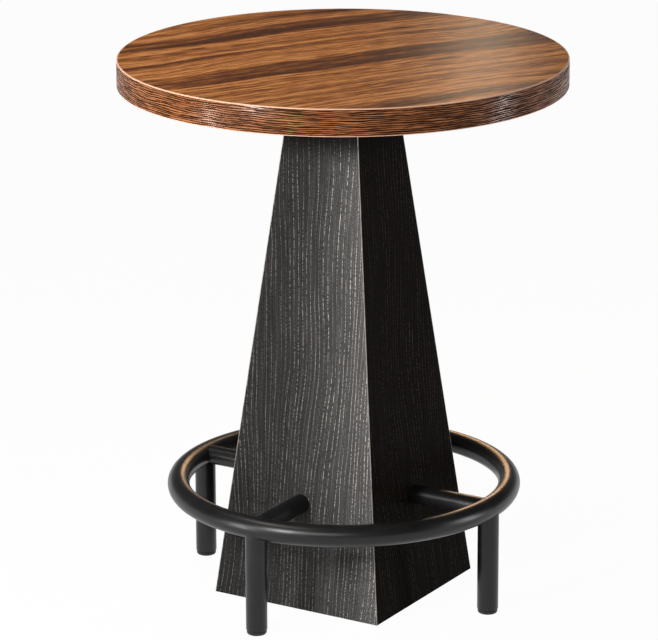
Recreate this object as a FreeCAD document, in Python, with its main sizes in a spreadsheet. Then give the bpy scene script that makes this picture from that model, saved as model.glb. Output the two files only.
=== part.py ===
# Round bar-height pub table on a tapered square pedestal, with a foot ring on four legs.
#
# Millimetres. The origin is on the floor under the centre of the table, and +Z is up.
# The pedestal's four faces look along -Y (front), +X (right), +Y (back) and -X (left).
# A piece that repeats round the table is drawn once, on its +X side, and turned about Z.
import FreeCAD, Part
import os
import re
import Sketcher

os.makedirs("parts", exist_ok=True)
doc = FreeCAD.newDocument("PubTable")
Vector = FreeCAD.Vector
UP = Vector(0, 0, 1)


# ------------------------------------------------------------------ driving dimensions
DIMENSIONS = [
    ("table_height", 1100, "floor to the top face"),
    ("top_diameter", 890, "over the edge band"),
    ("edge_depth", 54, "height of the edge band"),
    ("band_thickness", 3, "edge band"),
    ("band_ease", 1.2, "bevel of the band's outer corners"),
    ("laminate_thickness", 1, "face sheet and backer"),
    ("core_thickness", 28, "round board under the face"),
    ("build_up_width", 80, "ring of board under the rim"),
    ("plate_width", 320, "square mounting plate"),
    ("plate_thickness", 6, "mounting plate"),
    ("plate_corner", 24, "corner radius of the mounting plate"),
    ("screw_circle", 185, "radius of the ring of top screws"),
    ("bolt_circle", 42, "radius of the ring of plate bolts"),
    ("bolt_radius", 4, "M8 screws and bolts of the plate"),
    ("bolt_head", 8, "radius of their heads"),
    ("head_depth", 4.5, "flat head of a top screw"),
    ("head_sink", 0.5, "countersunk head below the plate's face"),
    ("insert_radius", 6, "outside of an M8 insert"),
    ("insert_length", 18, "M8 insert"),
    ("tip_gap", 2, "from a top screw's tip to the end of its insert"),
    ("hole_play", 0.5, "radial clearance of a bolt hole"),
    ("thread_play", 0.05, "radial clearance of a turning thread"),
    ("pedestal_bottom", 5, "gap under the pedestal's boards"),
    ("base_half", 190, "half the pedestal's width at its bottom"),
    ("neck_half", 72.5, "half the pedestal's width at its top"),
    ("skin_thickness", 1, "black oak laminate, level"),
    ("board_thickness", 18, "pedestal board, level"),
    ("block_height", 60, "block that closes the pedestal's top"),
    ("batten_leg", 28, "corner batten, along each board"),
    ("shelf_height", 262, "underside of the stiffening shelf"),
    ("shelf_thickness", 18, "stiffening shelf"),
    ("shelf_corner", 32, "corner cut off the shelf round a batten"),
    ("shelf_hole", 60, "radius of the hand hole in the shelf"),
    ("base_recess", 3, "bottom board above the boards' lower edges"),
    ("base_thickness", 18, "bottom board"),
    ("access_hole", 90, "radius of the hole in the bottom board"),
    ("ring_height", 220, "floor to the ring's centre line"),
    ("ring_diameter", 714, "over the ring's outside"),
    ("ring_tube", 44.5, "ring tube, outside"),
    ("leg_tube", 42.4, "leg tube, outside"),
    ("spoke_tube", 38.1, "spoke tube, outside"),
    ("tube_wall", 2, "wall of every tube"),
    ("vent_radius", 4, "vent hole from the ring into a spoke"),
    ("anchor_width", 64, "hardwood block behind a spoke"),
    ("anchor_height", 60, "hardwood block behind a spoke"),
    ("anchor_depth", 40, "hardwood block behind a spoke"),
    ("anchor_bolt", 5, "radius of the M10 bolt into a spoke"),
    ("bolt_show", 2, "end of that bolt past its plug"),
    ("washer_radius", 12, "washer under the bolt's head"),
    ("washer_thickness", 2.5, "washer under the bolt's head"),
    ("head_across", 17, "across the flats of the bolt's head"),
    ("head_height", 6.4, "bolt's head"),
    ("plug_inset", 6, "spoke plug inside the spoke's mouth"),
    ("plug_thickness", 8, "spoke plug"),
    ("glide_radius", 20, "glide under a leg"),
    ("glide_height", 8, "glide under a leg"),
    ("glide_ease", 4, "bevel of the glide's lower edge"),
    ("stop_gap", 0.5, "gap over a glide that is screwed right in"),
    ("leg_insert_length", 26, "threaded insert in a leg"),
    ("glide_stud", 5, "radius of the glide's M10 stud"),
    ("stud_length", 32, "stud above the glide"),
    ("leveller_reach", 198, "table's axis to a leveller's axis"),
    ("leveller_across", 30, "across the flats of a leveller's foot"),
    ("leveller_stud", 4, "radius of the leveller's M8 stud"),
    ("leveller_rise", 10, "leveller's stud above the bottom board"),
    ("tee_nut_barrel", 5, "radius of a tee nut's barrel"),
    ("tee_nut_flange", 11, "radius of a tee nut's flange"),
    ("tee_nut_sheet", 2, "thickness of a tee nut's flange"),
    ("overrun", 1, "how far a cutting outline runs past the piece"),
]

sheet = doc.addObject("Spreadsheet::Sheet", "Dimensions")
for row, (alias, value, note) in enumerate(DIMENSIONS, 1):
    sheet.set(f"A{row}", alias)
    sheet.set(f"B{row}", str(value))
    sheet.set(f"C{row}", note)
    sheet.setAlias(f"B{row}", alias)
doc.recompute()

ALIASES = {alias for alias, value, note in DIMENSIONS}

# Lengths worked out from the driving ones, written once and used by several pieces.
UNDER_TOP = "(table_height - 2 * laminate_thickness - core_thickness)"
PEDESTAL_TOP = f"({UNDER_TOP} - plate_thickness)"
BASE_UNDER = "(pedestal_bottom + base_recess)"
RING_RADIUS = "((ring_diameter - ring_tube) / 2)"
SIDES = {"right": 0, "back": 90, "left": 180, "front": 270}
CORNER_TURN = 45
HEXAGON = 6
# A hexagon's first corner stands off the axes, since a distance of zero can't be bound.
HEXAGON_TURN = 10

# What counts as the same when shapes are compared, in mm and mm3.
SAME_LENGTH = 0.01
SAME_VOLUME = 0.5


def face_at(height, depth="0"):
    """Half width of the pedestal at a height, a level depth behind its outer face."""
    slope = f"((base_half - neck_half) / ({PEDESTAL_TOP} - pedestal_bottom))"
    return f"(base_half - ({height} - pedestal_bottom) * {slope} - ({depth}))"


def board_back(height):
    """Half width of the hollow inside the pedestal's boards."""
    return face_at(height, "skin_thickness + board_thickness")


# ------------------------------------------------------------------ drawing helpers
def bind(text):
    """An expression whose names are looked up in the sheet."""
    return re.sub(r"[a-z_]{2,}", lambda m: f"Dimensions.{m[0]}" if m[0] in ALIASES else m[0], text)


def number(text):
    """The value that an expression has now."""
    return float(sheet.evalExpression(bind(text)))


def new_body(label, turn=0):
    """An empty body, turned about the table's axis."""
    body = doc.addObject("PartDesign::Body", label)
    body.Label = label
    body.AllowCompound = True
    body.Placement = FreeCAD.Placement(Vector(), FreeCAD.Rotation(UP, turn))
    return body


def sketch_on(body, role, lift="0"):
    """A sketch on one of the body's origin planes, moved along the plane's normal."""
    sketch = body.newObject("Sketcher::SketchObject", body.Label + "_sketch")
    plane = [part for part in body.Origin.OriginFeatures if part.Role == role][0]
    sketch.AttachmentSupport = [(plane, "")]
    sketch.MapMode = "FlatFace"
    if lift != "0":
        sketch.setExpression("AttachmentOffset.Base.z", bind(lift))
    return sketch


def pin_point(sketch, geometry, point, x, y):
    """Hold a point of the sketch at two bound coordinates."""
    for kind, axis, text in (("DistanceX", -2, x), ("DistanceY", -1, y)):
        if text == "0":
            sketch.addConstraint(Sketcher.Constraint("PointOnObject", geometry, point, axis))
            continue
        place = Sketcher.Constraint(kind, -1, 1, geometry, point, number(text))
        sketch.setExpression(f"Constraints[{sketch.addConstraint(place)}]", bind(text))


def polygon(sketch, corners):
    """A closed outline through corners given as pairs of expressions."""
    first = sketch.GeometryCount
    spots = [Vector(number(x), number(y), 0) for x, y in corners]
    for spot, after in zip(spots, spots[1:] + spots[:1]):
        sketch.addGeometry(Part.LineSegment(spot, after))
    for index in range(len(corners)):
        after = first + (index + 1) % len(corners)
        sketch.addConstraint(Sketcher.Constraint("Coincident", first + index, 2, after, 1))
    for index, (x, y) in enumerate(corners):
        pin_point(sketch, first + index, 1, x, y)


def rectangle(sketch, left, right, low, high):
    polygon(sketch, [(left, low), (right, low), (right, high), (left, high)])


def square(sketch, half):
    rectangle(sketch, f"-{half}", half, f"-{half}", half)


def regular(sketch, sides, x, y, corner, start):
    """A regular outline about a point, with its first corner at the start angle."""
    angles = [f"{start + index * 360 / sides:g} deg" for index in range(sides)]
    polygon(sketch, [(f"{x} + {corner} * cos({angle})", f"{y} + {corner} * sin({angle})")
                     for angle in angles])


def hexagon(sketch, x, y, across):
    """A spanner's hexagon about a point, of a given size across its flats."""
    corner = f"({across} / 2 / cos({360 / HEXAGON / 2:g} deg))"
    regular(sketch, HEXAGON, x, y, corner, HEXAGON_TURN)


def circle(sketch, x, y, radius):
    """A circle with its centre and radius bound."""
    index = sketch.addGeometry(Part.Circle(Vector(number(x), number(y), 0), UP, number(radius)))
    pin_point(sketch, index, 3, x, y)
    size = sketch.addConstraint(Sketcher.Constraint("Radius", index, number(radius)))
    sketch.setExpression(f"Constraints[{size}]", bind(radius))


def hole_ring(body, reach, radius, count, turn=0, lift="0"):
    """A sketch of holes round the table's axis; the first is at a turn from +X."""
    sketch = sketch_on(body, "XY_Plane", lift)
    for index in range(count):
        angle = f"{turn + index * 360 / count:g} deg"
        circle(sketch, f"{reach} * cos({angle})", f"{reach} * sin({angle})", radius)
    return sketch


def upright(sketch, x):
    """An upright construction line that a profile can turn about."""
    ends = ((x, "overrun"), (x, "table_height"))
    line = Part.LineSegment(*[Vector(number(across), number(up), 0) for across, up in ends])
    index = sketch.addGeometry(line, True)
    for point, (across, up) in enumerate(ends, 1):
        pin_point(sketch, index, point, across, up)
    return "Axis0"


def settle(body, feature):
    """Compute a new feature and see that it changed the solid it works on."""
    before = body.Tip.Shape.Volume if body.Tip and body.Tip is not feature else 0
    body.Tip = feature
    doc.recompute()
    if abs(feature.Shape.Volume - before) < SAME_VOLUME:
        raise RuntimeError(f"{feature.Name} changes nothing")
    return feature


def spin(body, sketch, axis="V_Axis", cut=False):
    """Turn a sketch all the way round, to add or to take away."""
    kind = "Groove" if cut else "Revolution"
    feature = body.newObject(f"PartDesign::{kind}", f"{body.Label}_{kind.lower()}")
    feature.Profile = sketch
    feature.ReferenceAxis = (sketch, [axis])
    feature.Angle = 360
    return settle(body, feature)


def pad(body, sketch, length, both_ways=False):
    """Push a sketch out by a bound length."""
    feature = body.newObject("PartDesign::Pad", body.Label + "_pad")
    feature.Profile = sketch
    feature.Midplane = both_ways
    feature.setExpression("Length", bind(length))
    return settle(body, feature)


def cut_through(body, sketch):
    """Cut a sketch right through the body, both ways from its plane."""
    feature = body.newObject("PartDesign::Pocket", body.Label + "_cut")
    feature.Profile = sketch
    feature.Type = "ThroughAll"
    feature.Midplane = True
    return settle(body, feature)


def cut_blind(body, sketch, depth, upwards):
    """Cut a sketch to a bound depth, up or down from its plane."""
    feature = body.newObject("PartDesign::Pocket", body.Label + "_pocket")
    feature.Profile = sketch
    feature.Reversed = upwards
    feature.setExpression("Length", bind(depth))
    return settle(body, feature)


def loft(body, lower, upper, cut=False):
    """Straight-sided solid between two sketches, to add or to take away."""
    kind = "SubtractiveLoft" if cut else "AdditiveLoft"
    feature = body.newObject(f"PartDesign::{kind}", body.Label + "_loft")
    feature.Profile = lower
    feature.Sections = [upper]
    feature.Ruled = True
    return settle(body, feature)


def ring_of(body, features, count=len(SIDES)):
    """Repeat features round the table's axis."""
    pattern = body.newObject("PartDesign::PolarPattern", body.Label + "_pattern")
    pattern.Originals = features
    axis = [part for part in body.Origin.OriginFeatures if part.Role == "Z_Axis"][0]
    pattern.Axis = (axis, [""])
    pattern.Angle = 360
    pattern.Occurrences = count
    return settle(body, pattern)


def dress(body, feature, kind, size, chosen):
    """Fillet or chamfer the edges that a test picks."""
    names = [f"Edge{i}" for i, edge in enumerate(feature.Shape.Edges, 1) if chosen(edge)]
    dressed = body.newObject(f"PartDesign::{kind}", f"{body.Label}_{kind.lower()}")
    dressed.Base = (feature, names)
    dressed.setExpression("Radius" if kind == "Fillet" else "Size", bind(size))
    return settle(body, dressed)


def is_circle(edge, radius):
    """True for a circle of a given radius."""
    return isinstance(edge.Curve, Part.Circle) and abs(edge.Curve.Radius - radius) < SAME_LENGTH


def is_upright(edge):
    return abs(edge.Vertexes[0].Z - edge.Vertexes[-1].Z) > SAME_LENGTH


def turned_group(label, reach, corners, turn=0):
    """Four turned solids round the table's axis, each on an upright axis at a reach from it.

    The corners are pairs of a radius from that axis and a height.
    """
    body = new_body(label, turn)
    profile = sketch_on(body, "XZ_Plane")
    axis = upright(profile, reach)
    polygon(profile, [(f"{reach} + {radius}", height) for radius, height in corners])
    ring_of(body, [spin(body, profile, axis)])
    return body


# ------------------------------------------------------------------ top
def disc(label, low, high):
    """A round sheet or board as wide as the inside of the edge band."""
    body = new_body(label)
    sketch = sketch_on(body, "XY_Plane", low)
    circle(sketch, "0", "0", CORE_RADIUS)
    pad(body, sketch, f"{high} - {low}")
    return body


CORE_RADIUS = "(top_diameter / 2 - band_thickness)"
CORE_TOP = "(table_height - laminate_thickness)"
CORE_UNDER = f"({CORE_TOP} - core_thickness)"
EDGE_UNDER = "(table_height - edge_depth)"
INSERT_TOP = f"({UNDER_TOP} + insert_length)"

disc("top_laminate", CORE_TOP, "table_height")

# The board has blind holes for the threaded inserts, and the backer has them through.
core = disc("top_core", CORE_UNDER, CORE_TOP)
holes = hole_ring(core, "screw_circle", "insert_radius", len(SIDES), CORNER_TURN, CORE_UNDER)
cut_blind(core, holes, "insert_length - laminate_thickness", upwards=True)
backer = disc("top_backer", UNDER_TOP, CORE_UNDER)
cut_through(backer, hole_ring(backer, "screw_circle", "insert_radius", len(SIDES), CORNER_TURN))

# The build-up ring is glued under the rim, so the edge looks twice as thick as the board.
build_up = new_body("edge_build_up")
profile = sketch_on(build_up, "XZ_Plane")
rectangle(profile, f"{CORE_RADIUS} - build_up_width", CORE_RADIUS, EDGE_UNDER, UNDER_TOP)
spin(build_up, profile)

# The band wraps the whole edge; both outer corners are eased.
band = new_body("edge_band")
profile = sketch_on(band, "XZ_Plane")
rectangle(profile, CORE_RADIUS, "top_diameter / 2", EDGE_UNDER, "table_height")
strip = spin(band, profile)
rim = number("top_diameter / 2")
dress(band, strip, "Chamfer", "band_ease", lambda edge: is_circle(edge, rim))

turned_group("top_inserts", "screw_circle", [
    ("bolt_radius + thread_play", UNDER_TOP), ("insert_radius", UNDER_TOP),
    ("insert_radius", INSERT_TOP), ("bolt_radius + thread_play", INSERT_TOP),
], CORNER_TURN)


# ------------------------------------------------------------------ mounting plate and its fasteners
plate = new_body("top_plate")
profile = sketch_on(plate, "XY_Plane", PEDESTAL_TOP)
square(profile, "(plate_width / 2)")
sheet_steel = pad(plate, profile, "plate_thickness")
dress(plate, sheet_steel, "Fillet", "plate_corner", is_upright)
cut_through(plate, hole_ring(plate, "screw_circle", "bolt_radius + hole_play", len(SIDES),
                             CORNER_TURN))
profile = sketch_on(plate, "XZ_Plane")
axis = upright(profile, "bolt_circle")
HOLE_EDGE = "bolt_circle + bolt_radius + hole_play"
polygon(profile, [
    ("bolt_circle", f"{PEDESTAL_TOP} - overrun"), (HOLE_EDGE, f"{PEDESTAL_TOP} - overrun"),
    (HOLE_EDGE, f"{UNDER_TOP} - head_sink - bolt_head + bolt_radius"),
    ("bolt_circle + bolt_head + hole_play", f"{UNDER_TOP} - head_sink"),
    ("bolt_circle + bolt_head + hole_play", UNDER_TOP), ("bolt_circle", UNDER_TOP),
])
ring_of(plate, [spin(plate, profile, axis, cut=True)])

# Flat-headed screws come up through the plate into the inserts in the top.
turned_group("top_plate_screws", "screw_circle", [
    ("0", f"{PEDESTAL_TOP} - head_depth"), ("bolt_head", f"{PEDESTAL_TOP} - head_depth"),
    ("bolt_head", PEDESTAL_TOP), ("bolt_radius", PEDESTAL_TOP),
    ("bolt_radius", f"{INSERT_TOP} - tip_gap"), ("0", f"{INSERT_TOP} - tip_gap"),
], CORNER_TURN)

# Countersunk bolts go down through the plate into inserts in the pedestal's top block.
INSERT_LOW = f"({PEDESTAL_TOP} - insert_length)"
turned_group("plate_bolts", "bolt_circle", [
    ("0", f"{UNDER_TOP} - head_sink"), ("bolt_head", f"{UNDER_TOP} - head_sink"),
    ("bolt_radius", f"{UNDER_TOP} - head_sink - bolt_head + bolt_radius"),
    ("bolt_radius", INSERT_LOW), ("0", INSERT_LOW),
])
turned_group("block_inserts", "bolt_circle", [
    ("bolt_radius + thread_play", INSERT_LOW), ("insert_radius", INSERT_LOW),
    ("insert_radius", PEDESTAL_TOP), ("bolt_radius + thread_play", PEDESTAL_TOP),
])


# ------------------------------------------------------------------ pedestal
def mitred_sheet(label, turn, outer, inner):
    """A tapered board on the +X face, between two level depths, mitred at both edges."""
    body = new_body(label, turn)
    section = sketch_on(body, "XZ_Plane")
    polygon(section, [
        (face_at("pedestal_bottom", inner), "pedestal_bottom"),
        (face_at("pedestal_bottom", outer), "pedestal_bottom"),
        (face_at(PEDESTAL_TOP, outer), PEDESTAL_TOP), (face_at(PEDESTAL_TOP, inner), PEDESTAL_TOP),
    ])
    pad(body, section, "2 * base_half", both_ways=True)
    near, far = "(neck_half / 2)", "(base_half + overrun)"
    mitres = sketch_on(body, "XY_Plane")
    polygon(mitres, [(near, near), (far, far), (near, far)])
    polygon(mitres, [(near, f"-{near}"), (near, f"-{far}"), (far, f"-{far}")])
    cut_through(body, mitres)
    hole = sketch_on(body, "YZ_Plane")
    circle(hole, "0", "ring_height", ANCHOR_HOLE)
    cut_through(body, hole)


def level_board(label, low, high, corner=None):
    """A level board that fills the pedestal's hollow, its edges cut to the taper."""
    body = new_body(label)
    ends = []
    for height in (low, high):
        half = board_back(height)
        sketch = sketch_on(body, "XY_Plane", height)
        if corner is None:
            square(sketch, half)
        else:
            short = f"({half} - {corner})"
            polygon(sketch, [
                (half, f"-{short}"), (half, short), (short, half), (f"-{short}", half),
                (f"-{half}", short), (f"-{half}", f"-{short}"), (f"-{short}", f"-{half}"),
                (short, f"-{half}"),
            ])
        ends.append(sketch)
    loft(body, *ends)
    return body


ANCHOR_HOLE = "(anchor_bolt + hole_play)"
for side, turn in SIDES.items():
    mitred_sheet(f"pedestal_panel_{side}", turn, "skin_thickness",
                 "skin_thickness + board_thickness")
    mitred_sheet(f"pedestal_skin_{side}", turn, "0", "skin_thickness")

BLOCK_UNDER = f"({PEDESTAL_TOP} - block_height)"
block = level_board("pedestal_top_block", BLOCK_UNDER, PEDESTAL_TOP)
holes = hole_ring(block, "bolt_circle", "insert_radius", len(SIDES), 0, PEDESTAL_TOP)
cut_blind(block, holes, "insert_length", upwards=False)

shelf = level_board("pedestal_shelf", "shelf_height", "(shelf_height + shelf_thickness)",
                    "shelf_corner")
cut_through(shelf, hole_ring(shelf, "0", "shelf_hole", 1))

BASE_TOP = f"({BASE_UNDER} + base_thickness)"
base = level_board("base_board", BASE_UNDER, BASE_TOP)
cut_through(base, hole_ring(base, "0", "access_hole", 1))
cut_through(base, hole_ring(base, "leveller_reach", "tee_nut_barrel", len(SIDES), CORNER_TURN))

# Battens are glued into the mitres from the bottom board up to the top block.
for index, turn in enumerate(SIDES.values(), 1):
    batten = new_body(f"corner_batten_{index}", turn)
    ends = []
    for height in (BASE_TOP, BLOCK_UNDER):
        corner = board_back(height)
        sketch = sketch_on(batten, "XY_Plane", height)
        polygon(sketch, [(corner, corner), (f"{corner} - batten_leg", corner),
                         (corner, f"{corner} - batten_leg")])
        ends.append(sketch)
    loft(batten, *ends)

# Hardwood blocks behind the boards take the pull of the bolts into the spokes.
ANCHOR_LOW = "(ring_height - anchor_height / 2)"
ANCHOR_HIGH = "(ring_height + anchor_height / 2)"
ANCHOR_BACK = f"({board_back('ring_height')} - anchor_depth)"
for side, turn in SIDES.items():
    anchor = new_body(f"anchor_block_{side}", turn)
    profile = sketch_on(anchor, "XZ_Plane")
    polygon(profile, [
        (ANCHOR_BACK, ANCHOR_LOW), (board_back(ANCHOR_LOW), ANCHOR_LOW),
        (board_back(ANCHOR_HIGH), ANCHOR_HIGH), (ANCHOR_BACK, ANCHOR_HIGH),
    ])
    pad(anchor, profile, "anchor_width", both_ways=True)
    hole = sketch_on(anchor, "YZ_Plane")
    circle(hole, "0", "ring_height", ANCHOR_HOLE)
    cut_through(anchor, hole)

NUT_BORE = "leveller_stud + thread_play"
NUT_LOW = f"{BASE_UNDER} + tee_nut_sheet"
turned_group("base_tee_nuts", "leveller_reach", [
    (NUT_BORE, NUT_LOW), ("tee_nut_barrel", NUT_LOW), ("tee_nut_barrel", BASE_TOP),
    ("tee_nut_flange", BASE_TOP), ("tee_nut_flange", f"{BASE_TOP} + tee_nut_sheet"),
    (NUT_BORE, f"{BASE_TOP} + tee_nut_sheet"),
], CORNER_TURN)

# The levellers have a hexagonal foot for a spanner, moulded on a threaded stud.
LEVELLER_HEIGHT = f"({BASE_UNDER} - stop_gap)"
for index, turn in enumerate(SIDES.values(), 1):
    leveller = new_body(f"pedestal_leveller_{index}", turn + CORNER_TURN)
    foot = sketch_on(leveller, "XY_Plane")
    hexagon(foot, "leveller_reach", "0", "leveller_across")
    pad(leveller, foot, LEVELLER_HEIGHT)
    stud = sketch_on(leveller, "XY_Plane", LEVELLER_HEIGHT)
    circle(stud, "leveller_reach", "0", "leveller_stud")
    pad(leveller, stud, f"{BASE_TOP} + leveller_rise - {LEVELLER_HEIGHT}")


# ------------------------------------------------------------------ foot rail
def cope(body):
    """Cut tubes to the saddle where they meet the ring's own tube."""
    sketch = sketch_on(body, "XZ_Plane")
    circle(sketch, RING_RADIUS, "ring_height", "ring_tube / 2")
    spin(body, sketch, cut=True)


# The ring's bore is drawn with flats that enclose the area of the round one.
BORE_FLATS = 8
BORE_CORNER = (f"((ring_tube / 2 - tube_wall) * sqrt(pi / "
               f"({BORE_FLATS / 2} * sin({360 / BORE_FLATS} deg))))")
foot_ring = new_body("foot_ring")
profile = sketch_on(foot_ring, "XZ_Plane")
circle(profile, RING_RADIUS, "ring_height", "ring_tube / 2")
regular(profile, BORE_FLATS, RING_RADIUS, "ring_height", BORE_CORNER, 360 / BORE_FLATS / 2)
spin(foot_ring, profile)
vent = sketch_on(foot_ring, "YZ_Plane")
circle(vent, "0", "ring_height", "vent_radius")
cut_blind(foot_ring, vent, RING_RADIUS, upwards=True)

# The legs are upright tubes, coped to the underside of the ring.
LEG_BOTTOM = "(glide_height + stop_gap)"
LEG_BORE = "leg_tube / 2 - tube_wall"
legs = turned_group("legs", RING_RADIUS, [
    (LEG_BORE, LEG_BOTTOM), ("leg_tube / 2", LEG_BOTTOM), ("leg_tube / 2", "ring_height"),
    (LEG_BORE, "ring_height"),
])
cope(legs)

# The spokes are level tubes. They are coped to the ring and to the legs' upper ends, and cut
# to the slope of the pedestal's faces.
SPOKE_HALF = "(spoke_tube / 2)"
spokes = new_body("spokes")
section = sketch_on(spokes, "YZ_Plane", ANCHOR_BACK)
circle(section, "0", "ring_height", SPOKE_HALF)
circle(section, "0", "ring_height", f"{SPOKE_HALF} - tube_wall")
ring_of(spokes, [pad(spokes, section, f"{RING_RADIUS} - {ANCHOR_BACK}")])
cope(spokes)
beside_leg = sketch_on(spokes, "XZ_Plane")
axis = upright(beside_leg, RING_RADIUS)
rectangle(beside_leg, RING_RADIUS, f"{RING_RADIUS} + leg_tube / 2", LEG_BOTTOM, "ring_height")
ring_of(spokes, [spin(spokes, beside_leg, axis, cut=True)])
ends = []
for height in (f"(ring_height - {SPOKE_HALF} - overrun)", f"(ring_height + {SPOKE_HALF} + overrun)"):
    sketch = sketch_on(spokes, "XY_Plane", height)
    square(sketch, face_at(height))
    ends.append(sketch)
loft(spokes, *ends, cut=True)

INSERT_BORE = "glide_stud + thread_play"
turned_group("leg_inserts", RING_RADIUS, [
    (INSERT_BORE, LEG_BOTTOM), (LEG_BORE, LEG_BOTTOM),
    (LEG_BORE, f"{LEG_BOTTOM} + leg_insert_length"),
    (INSERT_BORE, f"{LEG_BOTTOM} + leg_insert_length"),
])

# A glide is moulded on a threaded stud; its lower edge is eased.
for side, turn in SIDES.items():
    glide = new_body(f"leg_glide_{side}", turn)
    profile = sketch_on(glide, "XZ_Plane")
    axis = upright(profile, RING_RADIUS)
    polygon(profile, [(f"{RING_RADIUS} + {radius}", height) for radius, height in [
        ("0", "0"), ("glide_radius - glide_ease", "0"), ("glide_radius", "glide_ease"),
        ("glide_radius", "glide_height"), ("glide_stud", "glide_height"),
        ("glide_stud", "(glide_height + stud_length)"), ("0", "(glide_height + stud_length)"),
    ]])
    spin(glide, profile, axis)


# ------------------------------------------------------------------ fasteners between pedestal and rail
def level_tubes(label, start, length, outer, inner):
    """Four short level tubes or rings, one on each side, on the spokes' axes."""
    body = new_body(label)
    sketch = sketch_on(body, "YZ_Plane", start)
    circle(sketch, "0", "ring_height", outer)
    circle(sketch, "0", "ring_height", inner)
    ring_of(body, [pad(body, sketch, length)])


PLUG_START = f"({face_at('ring_height')} + plug_inset)"
WASHER_BACK = f"({ANCHOR_BACK} - washer_thickness)"
level_tubes("spoke_plugs", PLUG_START, "plug_thickness", f"{SPOKE_HALF} - tube_wall",
            "anchor_bolt + thread_play")
level_tubes("anchor_washers", WASHER_BACK, "washer_thickness", "washer_radius", ANCHOR_HOLE)

anchor_bolts = new_body("anchor_bolts")
outline = sketch_on(anchor_bolts, "YZ_Plane", f"{WASHER_BACK} - head_height")
hexagon(outline, "0", "ring_height", "head_across")
head = pad(anchor_bolts, outline, "head_height")
round_bar = sketch_on(anchor_bolts, "YZ_Plane", WASHER_BACK)
circle(round_bar, "0", "ring_height", "anchor_bolt")
shank = pad(anchor_bolts, round_bar, f"{PLUG_START} + plug_thickness + bolt_show - {WASHER_BACK}")
ring_of(anchor_bolts, [head, shank])


# ------------------------------------------------------------------ checks and export
doc.recompute()
for item in doc.Objects:
    if "Invalid" in item.State or "Error" in item.State:
        raise RuntimeError(f"{item.Name} failed: {item.State}")
bodies = [item for item in doc.Objects if item.TypeId == "PartDesign::Body"]
for body in bodies:
    if body.Shape.isNull() or not body.Shape.isValid() or not body.Shape.Solids:
        raise RuntimeError(f"{body.Label} has no valid solid")
for body in bodies:
    body.Shape.exportStep(f"parts/{body.Label}.step")
    print(f"{body.Label}: {len(body.Shape.Solids)} solid(s), {body.Shape.Volume / 1000:.1f} cm3")
print(len(bodies), "nodes")
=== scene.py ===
from math import cos, hypot, pi, radians, sin, sqrt

import bmesh
import bpy
from mathutils import Matrix, Vector


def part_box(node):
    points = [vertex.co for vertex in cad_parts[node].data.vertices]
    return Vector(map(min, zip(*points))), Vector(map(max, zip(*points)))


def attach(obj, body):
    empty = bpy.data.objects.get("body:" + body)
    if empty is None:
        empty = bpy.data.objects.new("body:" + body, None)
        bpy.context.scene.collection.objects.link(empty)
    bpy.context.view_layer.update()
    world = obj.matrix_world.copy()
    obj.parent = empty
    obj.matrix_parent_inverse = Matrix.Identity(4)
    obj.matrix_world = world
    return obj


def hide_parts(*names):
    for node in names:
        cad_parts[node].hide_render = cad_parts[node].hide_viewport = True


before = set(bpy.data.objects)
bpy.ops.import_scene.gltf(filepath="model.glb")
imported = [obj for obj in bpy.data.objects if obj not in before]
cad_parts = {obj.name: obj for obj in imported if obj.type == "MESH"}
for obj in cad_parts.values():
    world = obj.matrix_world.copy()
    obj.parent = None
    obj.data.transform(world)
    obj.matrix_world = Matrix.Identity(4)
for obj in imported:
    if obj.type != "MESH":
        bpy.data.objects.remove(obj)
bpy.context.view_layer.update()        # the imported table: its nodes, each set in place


# ---------------------------------------------------------------- camera
# The camera looks down at the table by 17 degrees, from the right of its front. It is far back with
# a long lens, so that the front and the right face of the pedestal both show and the verticals stay
# nearly upright.
def standpoint(bearing, distance, height):
    """A place round the table. A bearing of 0 is in front of it, and of 90 degrees at its right."""
    return Vector((sin(bearing) * distance, -cos(bearing) * distance, height))


camera_bearing = radians(31.0)
look_down = radians(16.66)
look_aside = radians(-0.2235)
camera_roll = radians(-0.19)

lens = bpy.data.cameras.new("camera")
lens.lens = 212.2
lens.sensor_width = 36
lens.clip_end = 200
camera = bpy.data.objects.new("camera", lens)
camera.matrix_world = (
    Matrix.Translation(standpoint(camera_bearing, distance=7.4422, height=2.786))
    @ Matrix.Rotation(camera_bearing - look_aside, 4, "Z")
    @ Matrix.Rotation(pi / 2 - look_down, 4, "X")
    @ Matrix.Rotation(camera_roll, 4, "Z"))
bpy.context.collection.objects.link(camera)
bpy.context.scene.camera = camera
bpy.context.scene.view_settings.view_transform = "Standard"

# ---------------------------------------------------------------- studio light
# A key lamp and a tall strip at the left light the front face. A wide softbox fills the front, a
# lamp above lights the top, and a cool strip stands at the right. Behind are a weak peach strip for
# the top's edge and, below the top's height, a copper one that draws a line along the foot ring.
aim = Vector((0, 0, 0.75))


def softbox(name, bearing, distance, height, width, tall, power, colour):
    """Sets up an area lamp that faces the table, at a bearing in degrees."""
    lamp = bpy.data.lights.new(name, "AREA")
    lamp.shape = "RECTANGLE"
    lamp.size, lamp.size_y = width, tall
    lamp.energy = power
    lamp.color = colour
    stand = bpy.data.objects.new(name, lamp)
    place = standpoint(radians(bearing), distance, height)
    facing = (aim - place).to_track_quat("-Z", "Y")
    stand.matrix_world = Matrix.Translation(place) @ facing.to_matrix().to_4x4()
    bpy.context.collection.objects.link(stand)


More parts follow.
